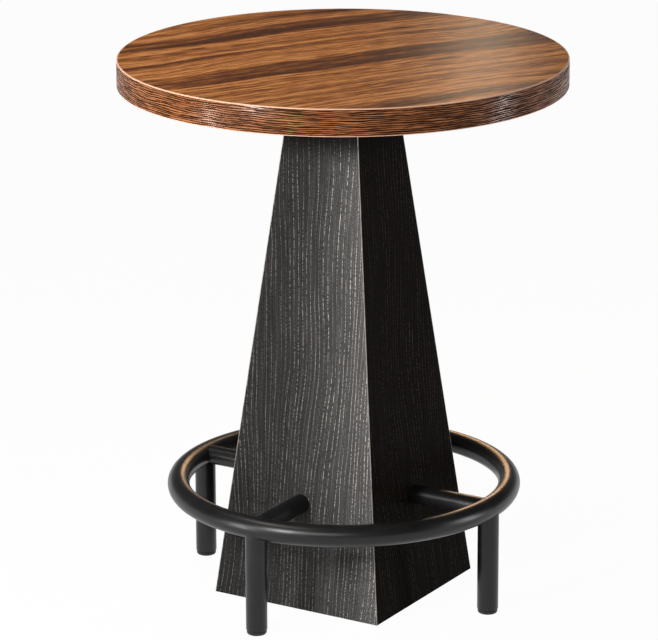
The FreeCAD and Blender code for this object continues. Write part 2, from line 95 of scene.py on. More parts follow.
softbox("key_light", bearing=-8, distance=1.9, height=1.22, width=0.22, tall=0.65,
        power=33, colour=(1, 0.99, 0.98))
softbox("left_light", bearing=-31, distance=1.8, height=0.45, width=0.10, tall=0.85,
        power=12.5, colour=(1, 0.99, 0.98))
softbox("front_fill", bearing=18, distance=3.2, height=2.15, width=1.3, tall=0.9,
        power=26, colour=(1, 0.98, 0.96))
softbox("top_light", bearing=-62, distance=0.8, height=2.7, width=1.2, tall=1.2,
        power=27, colour=(1, 0.98, 0.95))
softbox("side_light", bearing=112, distance=2.4, height=0.70, width=0.22, tall=1.1,
        power=18, colour=(0.95, 0.94, 1))
softbox("rim_light", bearing=201, distance=1.95, height=1.75, width=0.12, tall=0.6,
        power=2.5, colour=(1, 0.77, 0.55))
softbox("low_rim_light", bearing=205, distance=1.9, height=0.92, width=0.5, tall=0.32,
        power=6, colour=(1, 0.60, 0.32))


# ---------------------------------------------------------------- floor and backdrop
# A wide pale floor runs back to a white backdrop. The camera, reflections and clear parts all see
# the floor as white, and it still takes the table's shadow.
def node(tree, kind, inputs=None, **settings):
    """Adds a shader node, with its settings, and with each input linked or given its value."""
    made = tree.nodes.new(kind)
    for name, value in settings.items():
        setattr(made, name, value)
    for key, value in (inputs or {}).items():
        if isinstance(value, bpy.types.NodeSocket):
            tree.links.new(value, made.inputs[key])
        else:
            made.inputs[key].default_value = value
    return made


# The backdrop is white up to a little above the horizon, and the room over it is dimmer. Each level
# of brightness comes after the sine of its angle above the horizon.
backdrop_levels = ((0.03, 1.0), (0.12, 0.14), (0.40, 0.07))
backdrop = bpy.data.worlds.new("backdrop")
backdrop.use_nodes = True
bpy.context.scene.world = backdrop
walls = backdrop.node_tree
walls.nodes.clear()
toward = node(walls, "ShaderNodeTexCoord").outputs["Generated"]
upward = node(walls, "ShaderNodeSeparateXYZ", {0: toward}).outputs["Z"]
fade = node(walls, "ShaderNodeValToRGB", {0: upward})
shades = fade.color_ramp.elements
shades.new(0.5)
for shade, (place, level) in zip(shades, backdrop_levels):
    shade.position = place
    shade.color = (level, level, level, 1)
lit = node(walls, "ShaderNodeBackground", {"Color": fade.outputs["Color"], "Strength": 1})
node(walls, "ShaderNodeOutputWorld", {"Surface": lit.outputs[0]})

floor_reach = 60
floor_shadow = 0.03
floor_mesh = bpy.data.meshes.new("studio_floor")
form = bmesh.new()
bmesh.ops.create_circle(form, cap_ends=True, radius=floor_reach, segments=64)
form.to_mesh(floor_mesh)
form.free()
studio_floor = bpy.data.objects.new("studio_floor", floor_mesh)
bpy.context.collection.objects.link(studio_floor)
floor_paint = bpy.data.materials.new("floor_paint")
floor_paint.use_nodes = True
paint = floor_paint.node_tree
paint.nodes.clear()
matt = node(paint, "ShaderNodeBsdfDiffuse", {"Color": (0.70, 0.70, 0.70, 1)})
glow = node(paint, "ShaderNodeEmission", {"Color": (1, 1, 1, 1), "Strength": 1})
path = node(paint, "ShaderNodeLightPath").outputs
seen = node(paint, "ShaderNodeMath", {0: path["Is Camera Ray"], 1: path["Is Glossy Ray"]},
            operation="MAXIMUM")
seen = node(paint, "ShaderNodeMath", {0: seen.outputs[0], 1: path["Is Transmission Ray"]},
            operation="MAXIMUM")
share = node(paint, "ShaderNodeMath", {0: seen.outputs[0], 1: 1 - floor_shadow}, operation="MULTIPLY")
white = node(paint, "ShaderNodeMixShader", {0: share.outputs[0], 1: matt.outputs[0], 2: glow.outputs[0]})
# From below, the floor is clear, so that the underside of the table can be looked at.
below = node(paint, "ShaderNodeNewGeometry").outputs["Backfacing"]
clear = node(paint, "ShaderNodeBsdfTransparent", {"Color": (1, 1, 1, 1)})
mixed = node(paint, "ShaderNodeMixShader", {0: below, 1: white.outputs[0], 2: clear.outputs[0]})
node(paint, "ShaderNodeOutputMaterial", {"Surface": mixed.outputs[0]})
floor_mesh.materials.append(floor_paint)


# ---------------------------------------------------------------- round top: core board
# The core is a round of particle board, sawn and left raw. Its faces are hidden by the laminate
# and the backer, and its edge by the band.
def ramp(tree, value, *stops):
    """Turns a value into a colour through (place, colour) stops."""
    made = node(tree, "ShaderNodeValToRGB", {0: value})
    steps = made.color_ramp.elements
    while len(steps) < len(stops):
        steps.new(0.5)
    for step, (place, colour) in zip(steps, stops):
        step.position = place
        step.color = (*colour, 1)
    return made.outputs["Color"]


def span(tree, value, low, high, at_low=0.0, at_high=1.0, smooth=True):
    """Carries a value from one range to another, held at both ends."""
    made = node(tree, "ShaderNodeMapRange", {0: value, 1: low, 2: high, 3: at_low, 4: at_high},
                interpolation_type="SMOOTHSTEP" if smooth else "LINEAR")
    return made.outputs[0]


def blended(tree, share, first, second):
    """Mixes two colours: a share of 1 is the second one."""
    made = node(tree, "ShaderNodeMix", data_type="RGBA", clamp_result=True)
    for place, value in ((0, share), (6, first), (7, second)):
        if isinstance(value, bpy.types.NodeSocket):
            tree.links.new(value, made.inputs[place])
        else:
            made.inputs[place].default_value = value if place == 0 else (*value, 1)
    return made.outputs[2]


def place_on(tree, turn=(0, 0, 0)):
    """Object coordinates in metres, turned so that a pattern lies right."""
    where = node(tree, "ShaderNodeTexCoord").outputs["Object"]
    return node(tree, "ShaderNodeMapping", {"Vector": where, "Rotation": turn}).outputs[0]


def noise(tree, where, size, detail=2.0, rough=0.5):
    """Cloudy noise whose patches are about as large as the size, from 0 to 1."""
    made = node(tree, "ShaderNodeTexNoise", {"Vector": where, "Scale": 1 / size, "Detail": detail,
                                             "Roughness": rough})
    return made.outputs["Fac"]


def new_material(name, roughness, metallic=0.0, specular=0.5):
    """Starts a material and gives it with its node tree and its shader."""
    material = bpy.data.materials.new(name)
    material.use_nodes = True
    shader = material.node_tree.nodes["Principled BSDF"]
    shader.inputs["Roughness"].default_value = roughness
    shader.inputs["Metallic"].default_value = metallic
    shader.inputs["Specular IOR Level"].default_value = specular
    return material, material.node_tree, shader


def relief(tree, shader, height, depth, strength):
    """Raises the surface by a height pattern, where a value of 1 stands proud by the depth."""
    bump = node(tree, "ShaderNodeBump", {"Height": height, "Distance": depth, "Strength": strength})
    tree.links.new(bump.outputs[0], shader.inputs["Normal"])


def dress(material, *names):
    """Gives a material to CAD nodes whose shape stays as it is."""
    for name in names:
        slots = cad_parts[name].data.materials
        if len(slots):
            slots[0] = material
        else:
            slots.append(material)


def particle_board():
    """Raw particle board: pale chips and fibres pressed together, with darker flecks."""
    material, tree, shader = new_material("particle_board", roughness=0.82, specular=0.25)
    where = place_on(tree)
    chips_per_metre = 420
    chips = node(tree, "ShaderNodeTexVoronoi", {"Vector": where, "Scale": chips_per_metre, "Randomness": 1})
    cloud = noise(tree, where, size=0.03, detail=4)
    tone = span(tree, chips.outputs["Distance"], 0.1, 0.8)
    colour = ramp(tree, tone, (0.0, (0.60, 0.44, 0.27)), (0.5, (0.50, 0.35, 0.205)),
                  (1.0, (0.30, 0.19, 0.10)))
    colour = blended(tree, span(tree, cloud, 0.35, 0.7, 0, 0.35), colour, (0.36, 0.24, 0.13))
    tree.links.new(colour, shader.inputs["Base Color"])
    relief(tree, shader, tone, depth=0.0002, strength=0.5)
    return material


board = particle_board()
dress(board, "top_core")


# ---------------------------------------------------------------- round top: backer
# A thin sheet of dark backing laminate is glued under the core to keep it flat. It is plain, with
# a faint fibre, and shows only from below.
touching = 1e-6          # points closer than this are one point
inside_cad = 0.0002      # how far the round pieces stay inside the CAD model's radius
sharp_edge = radians(35)
round_steps = 240


def placed(name, bm):
    """Makes the finished mesh an object at the origin, smooth but for its sharp edges."""
    mesh = bpy.data.meshes.new(name)
    bm.to_mesh(mesh)
    bm.free()
    mesh.shade_smooth()
    mesh.set_sharp_from_angle(angle=sharp_edge)
    piece = bpy.data.objects.new(name, mesh)
    bpy.context.collection.objects.link(piece)
    return piece


def turned(name, profile, rounded=()):
    """Spins a profile of (radius, height) points into a round piece.

    The profile is closed, or runs from the axis to the axis. Each (point number, size) in rounded
    softens the edge that the point of the profile draws.
    """
    bm = bmesh.new()
    points = [bm.verts.new((radius, 0, height)) for radius, height in profile]
    for first, second in zip(points, points[1:]):
        bm.edges.new((first, second))
    if profile[0][0] > 0:
        bm.edges.new((points[-1], points[0]))
    bmesh.ops.spin(bm, geom=bm.verts[:] + bm.edges[:], cent=(0, 0, 0), axis=(0, 0, 1), dvec=(0, 0, 0),
                   angle=2 * pi, steps=round_steps, use_merge=True, use_normal_flip=False,
                   use_duplicate=False)
    bmesh.ops.remove_doubles(bm, verts=bm.verts[:], dist=touching)
    bmesh.ops.recalc_face_normals(bm, faces=bm.faces[:])
    for number, size in rounded:
        radius, height = profile[number]
        edge = [e for e in bm.edges if all(
            abs(hypot(v.co.x, v.co.y) - radius) < touching and abs(v.co.z - height) < touching
            for v in e.verts)]
        bmesh.ops.bevel(bm, geom=edge, offset=size, segments=4, profile=0.5, affect="EDGES", material=-1)
    return placed(name, bm)


def rectangle(inner, outer, low, high):
    """A profile whose points are 0 inner low, 1 outer low, 2 outer high and 3 inner high."""
    return [(inner, low), (outer, low), (outer, high), (inner, high)]


def backing_laminate():
    """Dark brown backing sheet with a faint felted fibre."""
    material, tree, shader = new_material("backing_laminate", roughness=0.6, specular=0.35)
    where = place_on(tree)
    fibre = noise(tree, where, size=0.0015, detail=5, rough=0.65)
    cloud = noise(tree, where, size=0.12, detail=3)
    colour = ramp(tree, fibre, (0.3, (0.028, 0.024, 0.021)), (0.7, (0.062, 0.054, 0.047)))
    colour = blended(tree, span(tree, cloud, 0.4, 0.7, 0, 0.4), colour, (0.024, 0.021, 0.019))
    tree.links.new(colour, shader.inputs["Base Color"])
    relief(tree, shader, fibre, depth=0.0001, strength=0.6)
    return material


top_low, top_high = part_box("edge_band")
top_radius = min(top_high.x, top_high.y) - inside_cad
band_thickness = 0.003
inner_radius = top_radius - band_thickness

backer_low, backer_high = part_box("top_backer")
backer = turned("backer_sheet", rectangle(0, inner_radius, backer_low.z, backer_high.z))
backer.data.materials.append(backing_laminate())
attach(backer, "table")
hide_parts("top_backer")

# ---------------------------------------------------------------- round top: edge build-up
# A ring of the same board is glued under the rim, so that a 28 mm board looks 54 mm thick. Its
# inner lower corner is eased with sandpaper.
build_low, build_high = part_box("edge_build_up")
build_width = 0.080
build_easing = 0.0012
build_inner = inner_radius - build_width
build_up = turned("build_up_ring", rectangle(build_inner, inner_radius, build_low.z, build_high.z),
                  rounded=[(0, build_easing)])
build_up.data.materials.append(board)
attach(build_up, "table")
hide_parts("edge_build_up")


# ---------------------------------------------------------------- round top: walnut laminate
# The face is a satin laminate sheet with a straight walnut figure: broad soft-edged stripes, short
# fibre and a few long eyes where the figure parts.
def new_group(name, inputs, outputs):
    """Starts a shader node group with named inputs and outputs, and gives its two end nodes."""
    group = bpy.data.node_groups.new(name, "ShaderNodeTree")
    for label, kind, value in inputs:
        socket = group.interface.new_socket(name=label, in_out="INPUT", socket_type="NodeSocket" + kind)
        if kind == "Float":
            socket.default_value = value
    for label, kind in outputs:
        group.interface.new_socket(name=label, in_out="OUTPUT", socket_type="NodeSocket" + kind)
    return group, group.nodes.new("NodeGroupInput"), group.nodes.new("NodeGroupOutput")


def use(tree, group, **inputs):
    """Places a shader node group in a material, with its inputs by name, and gives its outputs."""
    return node(tree, "ShaderNodeGroup", inputs, node_tree=group).outputs


def maths(tree, operation, first, second=0.0):
    """Works out one step of arithmetic on one or two values."""
    return node(tree, "ShaderNodeMath", {0: first, 1: second}, operation=operation).outputs[0]


def streaks_group():
    """Noise drawn out along X: each streak has about the given length and width."""
    group, start, end = new_group("streaks", [
        ("Vector", "Vector", None), ("Length", "Float", 0.1), ("Width", "Float", 0.01),
        ("Detail", "Float", 2.0), ("Rough", "Float", 0.5), ("Seed", "Float", 0.0)], [("Value", "Float")])
    given = start.outputs
    size = node(group, "ShaderNodeCombineXYZ", {0: given["Length"], 1: given["Width"], 2: given["Width"]})
    scaled = node(group, "ShaderNodeVectorMath", {0: given["Vector"], 1: size.outputs[0]},
                  operation="DIVIDE")
    moved = node(group, "ShaderNodeVectorMath", {0: scaled.outputs[0], 1: given["Seed"]}, operation="ADD")
    field = node(group, "ShaderNodeTexNoise", {"Vector": moved.outputs[0], "Scale": 1,
                                               "Detail": given["Detail"], "Roughness": given["Rough"]})
    group.links.new(field.outputs["Fac"], end.inputs["Value"])
    return group


streaks = streaks_group()


def streaky(tree, where, length, width, detail, rough, seed):
    """Places the streaks group in a material and gives its pattern, from 0 to 1."""
    return use(tree, streaks, Vector=where, Length=length, Width=width, Detail=detail, Rough=rough,
               Seed=seed)["Value"]


def walnut_laminate(turn, eyes):
    """Walnut figure that runs along a line turned from X. An eye is (along, across, length, width)."""
    material, tree, shader = new_material("walnut_laminate", roughness=0.36, specular=0.035)
    where = place_on(tree, turn=(0, 0, -turn))
    parts = node(tree, "ShaderNodeSeparateXYZ", {0: where}).outputs
    along, across = parts["X"], parts["Y"]

    # The figure sways as it runs and bends round each eye, which has a dark heart.
    sway = noise(tree, where, size=0.55)
    bent = maths(tree, "ADD", across, span(tree, sway, 0.25, 0.75, -0.030, 0.030, smooth=False))
    heart = None
    for x, y, length, width in eyes:
        u = maths(tree, "DIVIDE", maths(tree, "SUBTRACT", along, x), length)
        v = maths(tree, "DIVIDE", maths(tree, "SUBTRACT", across, y), width)
        squares = maths(tree, "ADD", maths(tree, "MULTIPLY", u, u), maths(tree, "MULTIPLY", v, v))
        reach = maths(tree, "SQRT", squares)
        near = span(tree, reach, 0.0, 2.2, 1.0, 0.0)
        push = maths(tree, "MULTIPLY", maths(tree, "MULTIPLY", v, near), -0.55 * width)
        bent = maths(tree, "ADD", bent, push)
        core = span(tree, reach, 0.15, 1.0, 1.0, 0.0)
        heart = core if heart is None else maths(tree, "MAXIMUM", heart, core)
    drawn = node(tree, "ShaderNodeCombineXYZ", {0: along, 1: bent, 2: 0.0}).outputs[0]

    broad = streaky(tree, drawn, length=2.2, width=0.062, detail=1, rough=0.45, seed=3.7)
    stripe = streaky(tree, drawn, length=0.80, width=0.015, detail=2, rough=0.55, seed=11.2)
    thread = streaky(tree, drawn, length=0.13, width=0.0042, detail=3, rough=0.55, seed=5.1)
    fleck = streaky(tree, drawn, length=0.050, width=0.0060, detail=2, rough=0.6, seed=31.0)
    fibre = streaky(tree, drawn, length=0.022, width=0.0011, detail=3, rough=0.6, seed=8.3)
    pores = streaky(tree, where, length=0.011, width=0.0007, detail=1, rough=0.5, seed=21.0)

    tone = span(tree, broad, 0.41, 0.57, 0, 0.52)
    tone = maths(tree, "ADD", tone, span(tree, stripe, 0.36, 0.62, 0, 0.40))
    tone = maths(tree, "ADD", tone, span(tree, thread, 0.34, 0.66, -0.13, 0.13, smooth=False))
    tone = maths(tree, "ADD", tone, span(tree, fleck, 0.34, 0.66, -0.31, 0.23, smooth=False))
    tone = maths(tree, "ADD", tone, span(tree, fibre, 0.30, 0.70, -0.13, 0.13, smooth=False))
    tone = maths(tree, "SUBTRACT", tone, maths(tree, "MULTIPLY", heart, 0.52))
    colour = ramp(tree, tone, (0.05, (0.060, 0.018, 0.005)), (0.28, (0.125, 0.037, 0.010)),
                  (0.48, (0.215, 0.070, 0.016)), (0.70, (0.360, 0.128, 0.032)),
                  (0.96, (0.550, 0.228, 0.070)))
    colour = blended(tree, span(tree, pores, 0.64, 0.74, 0, 0.5), colour, (0.055, 0.020, 0.010))
    tree.links.new(colour, shader.inputs["Base Color"])
    tree.links.new(span(tree, fibre, 0.3, 0.7, 0.33, 0.42), shader.inputs["Roughness"])
    height = maths(tree, "ADD", fibre, maths(tree, "MULTIPLY", pores, -0.5))
    relief(tree, shader, height, depth=0.00012, strength=0.35)
    return material


walnut = walnut_laminate(turn=radians(61), eyes=[
    (0.10, 0.26, 0.045, 0.011), (0.23, 0.16, 0.050, 0.010), (-0.02, 0.02, 0.060, 0.012),
    (-0.22, 0.20, 0.045, 0.010), (0.16, -0.12, 0.055, 0.012)])
sheet_low, sheet_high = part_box("top_laminate")
face_sheet = turned("walnut_face", rectangle(0, inner_radius, sheet_low.z, sheet_high.z))
face_sheet.data.materials.append(walnut)
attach(face_sheet, "table")
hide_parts("top_laminate")


# ---------------------------------------------------------------- round top: edge band
# A 3 mm moulded band is glued round the edge. A deep horizontal grain is pressed into it, and its two long
# corners are scraped round, which leaves them smooth. Their pale colour is partly their own and partly a
# painted highlight.
def embossed_band(top, bottom):
    """Copper-brown band with a pressed grain, and smooth grainless corners at the top and bottom, pale
    partly in their own colour and partly as a painted highlight.
    """
    material, tree, shader = new_material("embossed_band", roughness=0.5, specular=0.04)
    where = place_on(tree)
    parts = node(tree, "ShaderNodeSeparateXYZ", {0: where}).outputs
    height = parts["Z"]
    sway = noise(tree, where, size=0.07)
    raised = maths(tree, "ADD", height, span(tree, sway, 0.2, 0.8, -0.0022, 0.0022, smooth=False))
    # X of the streaks is turned up the band, so their length is a height here and their width
    # runs round the table.
    drawn = node(tree, "ShaderNodeCombineXYZ", {0: raised, 1: parts["X"], 2: parts["Y"]}).outputs[0]
    coarse = streaky(tree, drawn, length=0.0070, width=0.090, detail=2, rough=0.5, seed=2.0)
    fine = streaky(tree, drawn, length=0.0015, width=0.050, detail=1, rough=0.5, seed=9.0)
    broken = streaky(tree, drawn, length=0.0035, width=0.016, detail=1, rough=0.5, seed=6.0)

    ridge_spacing = 0.0040
    phase = maths(tree, "ADD", maths(tree, "DIVIDE", raised, ridge_spacing),
                  maths(tree, "MULTIPLY", coarse, 1.5))
    ridge = maths(tree, "MULTIPLY", maths(tree, "PINGPONG", phase, 0.5), 2.0)
    grain = maths(tree, "ADD", maths(tree, "MULTIPLY", ridge, 0.46),
                  span(tree, fine, 0.3, 0.7, 0, 0.36, smooth=False))
    grain = maths(tree, "ADD", grain, span(tree, broken, 0.3, 0.7, 0, 0.13, smooth=False))
    # The scraper takes the grain off the last 2 mm or so at the top and at the bottom.
    above = span(tree, height, top - 0.0026, top - 0.0014)
    below = span(tree, height, bottom + 0.0012, bottom + 0.0022, 1, 0)
    scraped_corner_and_highlight = maths(tree, "MAXIMUM", above, below)

    colour = ramp(tree, grain, (0.32, (0.005, 0.0025, 0.0015)), (0.42, (0.060, 0.018, 0.005)),
                  (0.55, (0.160, 0.050, 0.0125)), (0.76, (0.350, 0.128, 0.037)))
    patch = noise(tree, where, size=0.13)
    colour = blended(tree, span(tree, patch, 0.4, 0.65, 0, 0.12), colour, (0.085, 0.032, 0.014))
    # The corners' pale colour is partly the band's own and partly a painted highlight on their rounding.
    colour = blended(tree, scraped_corner_and_highlight, colour, (0.68, 0.39, 0.26))
    tree.links.new(colour, shader.inputs["Base Color"])
    pores = span(tree, grain, 0.33, 0.44, 1, 0)
    rough = maths(tree, "SUBTRACT", span(tree, pores, 0, 1, 0.40, 0.62),
                  maths(tree, "MULTIPLY", scraped_corner_and_highlight, 0.14))
    tree.links.new(rough, shader.inputs["Roughness"])
    polished = maths(tree, "MAXIMUM", span(tree, grain, 0.42, 0.62, 0, 0.48),
                     maths(tree, "MULTIPLY", scraped_corner_and_highlight, 0.6))
    shader.inputs["Coat Roughness"].default_value = 0.24
    tree.links.new(polished, shader.inputs["Coat Weight"])
    pressed = maths(tree, "MULTIPLY", span(tree, grain, 0.30, 0.66), maths(tree, "SUBTRACT", 1.0, scraped_corner_and_highlight))
    relief(tree, shader, pressed, depth=0.0006, strength=0.8)
    return material


lower_round = 0.0016
upper_round = 0.0022
band = turned("edge_band_strip", rectangle(inner_radius, top_radius, top_low.z, top_high.z),
              rounded=[(1, lower_round), (2, upper_round)])
band.data.materials.append(embossed_band(top_high.z, top_low.z))
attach(band, "table")
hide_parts("edge_band")


# ---------------------------------------------------------------- mounting plate and its screws
# A laser-cut steel plate joins the top to the pedestal. Machine screws go up through it into
# threaded inserts in the core, and countersunk bolts go down into the pedestal's block.
def powder_coat():
    """Satin black powder coat on steel, with its fine orange peel."""
    material, tree, shader = new_material("black_powder_coat", roughness=0.32, specular=0.35)
    where = place_on(tree)
    peel = noise(tree, where, size=0.0011)
    cloud = noise(tree, where, size=0.05, detail=3)
    colour = ramp(tree, cloud, (0.3, (0.0060, 0.0059, 0.0061)), (0.7, (0.0100, 0.0098, 0.0100)))
    tree.links.new(colour, shader.inputs["Base Color"])
    tree.links.new(span(tree, cloud, 0.3, 0.7, 0.30, 0.34), shader.inputs["Roughness"])
    relief(tree, shader, peel, depth=0.00002, strength=0.4)
    return material


def zinc_plate():
    """Bright zinc plating, a little cloudy from its bath."""
    material, tree, shader = new_material("zinc_plating", roughness=0.34, metallic=1.0)
    where = place_on(tree)
    cloud = noise(tree, where, size=0.004, detail=3)
    brush = noise(tree, where, size=0.0006)
    colour = ramp(tree, cloud, (0.3, (0.50, 0.51, 0.50)), (0.5, (0.62, 0.61, 0.58)),
                  (0.7, (0.68, 0.63, 0.52)))
    tree.links.new(colour, shader.inputs["Base Color"])
    tree.links.new(span(tree, brush, 0.3, 0.7, 0.26, 0.42), shader.inputs["Roughness"])
    relief(tree, shader, brush, depth=0.00003, strength=0.5)
    return material


coated_steel = powder_coat()
zinc = zinc_plate()
dress(coated_steel, "top_plate")
dress(zinc, "top_inserts", "top_plate_screws", "block_inserts", "plate_bolts")


# ---------------------------------------------------------------- pedestal: blocks, battens, shelf
# The block that closes the pedestal's top, the stiffening shelf and the base board are sawn from
# plywood. The corner battens and the anchor blocks are sawn hardwood, and the four tapered panels
# are particle board. All are glued.
def plywood():
    """Rotary-cut veneer on the flat faces, and stacked plies on the cut edges."""
    material, tree, shader = new_material("plywood", roughness=0.68, specular=0.3)
    where = place_on(tree)
    figure = streaky(tree, where, length=0.22, width=0.012, detail=3, rough=0.55, seed=4.0)
    fibre = streaky(tree, where, length=0.02, width=0.0012, detail=2, rough=0.6, seed=6.0)
    grain = maths(tree, "ADD", maths(tree, "MULTIPLY", figure, 0.65), maths(tree, "MULTIPLY", fibre, 0.35))
    veneer = ramp(tree, grain, (0.34, (0.42, 0.27, 0.14)), (0.5, (0.58, 0.42, 0.25)),
                  (0.66, (0.68, 0.52, 0.34)))
    ply_pair = 0.0030        # one pale and one dark ply
    height = node(tree, "ShaderNodeSeparateXYZ", {0: where}).outputs["Z"]
    ply = maths(tree, "FRACT", maths(tree, "DIVIDE", height, ply_pair))
    plies = ramp(tree, span(tree, ply, 0.44, 0.56, smooth=False), (0.0, (0.60, 0.44, 0.27)),
                 (1.0, (0.36, 0.22, 0.11)))
    facing = node(tree, "ShaderNodeNewGeometry").outputs["True Normal"]
    up = node(tree, "ShaderNodeSeparateXYZ", {0: facing}).outputs["Z"]
    edge = span(tree, maths(tree, "ABSOLUTE", up), 0.5, 0.8, 1, 0)
    tree.links.new(blended(tree, edge, veneer, plies), shader.inputs["Base Color"])
    relief(tree, shader, grain, depth=0.00025, strength=0.5)
    return material


def hardwood():
    """Sawn pale hardwood with its grain upright."""
    material, tree, shader = new_material("sawn_hardwood", roughness=0.7, specular=0.3)
    where = place_on(tree, turn=(0, radians(90), 0))
    figure = streaky(tree, where, length=0.30, width=0.006, detail=3, rough=0.6, seed=14.0)
    fibre = streaky(tree, where, length=0.012, width=0.0009, detail=2, rough=0.6, seed=17.0)
    grain = maths(tree, "ADD", maths(tree, "MULTIPLY", figure, 0.6), maths(tree, "MULTIPLY", fibre, 0.4))
    colour = ramp(tree, grain, (0.34, (0.34, 0.21, 0.11)), (0.5, (0.52, 0.36, 0.21)),
                  (0.66, (0.63, 0.47, 0.30)))
    tree.links.new(colour, shader.inputs["Base Color"])
    relief(tree, shader, grain, depth=0.0003, strength=0.5)
    return material


sides = ("right", "back", "left", "front")
corners = (1, 2, 3, 4)
sawn_wood = hardwood()
dress(plywood(), "pedestal_top_block", "pedestal_shelf", "base_board")
dress(sawn_wood, *[f"corner_batten_{number}" for number in corners])
dress(sawn_wood, *[f"anchor_block_{side}" for side in sides])
dress(board, *[f"pedestal_panel_{side}" for side in sides])


# ---------------------------------------------------------------- pedestal: black oak skins
# Each face is a sheet of black oak laminate with brushed, limed pores. The pores stand in long rows that
# lean and part as flat-sawn grain does. The mitred arrises carry a pale painted highlight, and each face's
# colour holds painted sheen, shadow and shade.
def pore_rows_group():
    """Short pores in rows that run along the grain, one row for each spacing across it."""
    group, start, end = new_group("pore_rows", [
        ("Across", "Float", 0.0), ("Along", "Float", 0.0), ("Spacing", "Float", 0.008),
        ("Bead", "Float", 0.006), ("Width", "Float", 0.1), ("Seed", "Float", 0.0)], [("Pores", "Float")])
    given = start.outputs
    count = maths(group, "DIVIDE", given["Across"], given["Spacing"])
    row = maths(group, "FLOOR", count)
    inside = maths(group, "FRACT", count)

    def by_row(scale, length, offset, rough=0.5):
        """Noise that changes from row to row, and along the row over the given length."""
        side = maths(group, "ADD", maths(group, "MULTIPLY", row, scale), given["Seed"])
        up = maths(group, "DIVIDE", given["Along"], length)
        spot = node(group, "ShaderNodeCombineXYZ", {0: side, 1: up, 2: offset}).outputs[0]
        return noise(group, spot, size=1, detail=1, rough=rough)

    wander = span(group, by_row(5.3, 0.16, 7.0), 0.2, 0.8, 0.25, 0.75, smooth=False)
    away = maths(group, "ABSOLUTE", maths(group, "SUBTRACT", inside, wander))
    line = span(group, away, maths(group, "MULTIPLY", given["Width"], 0.45), given["Width"], 1, 0)
    beads = span(group, by_row(3.1, given["Bead"], 3.0, rough=0.6), 0.44, 0.56)
    strong = span(group, by_row(2.9, 0.16, 11.0), 0.34, 0.62, 0.12, 1.0)
    pores = maths(group, "MULTIPLY", maths(group, "MULTIPLY", line, beads), strong)
    group.links.new(pores, end.inputs["Pores"])
    return group


pore_rows = pore_rows_group()
skin_low, skin_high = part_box("pedestal_skin_front")
skin_thickness = 0.001
panel_foot, panel_head = skin_low.z, skin_high.z
foot_half = skin_high.x
head_half = foot_half - (skin_high.y - skin_low.y) + skin_thickness


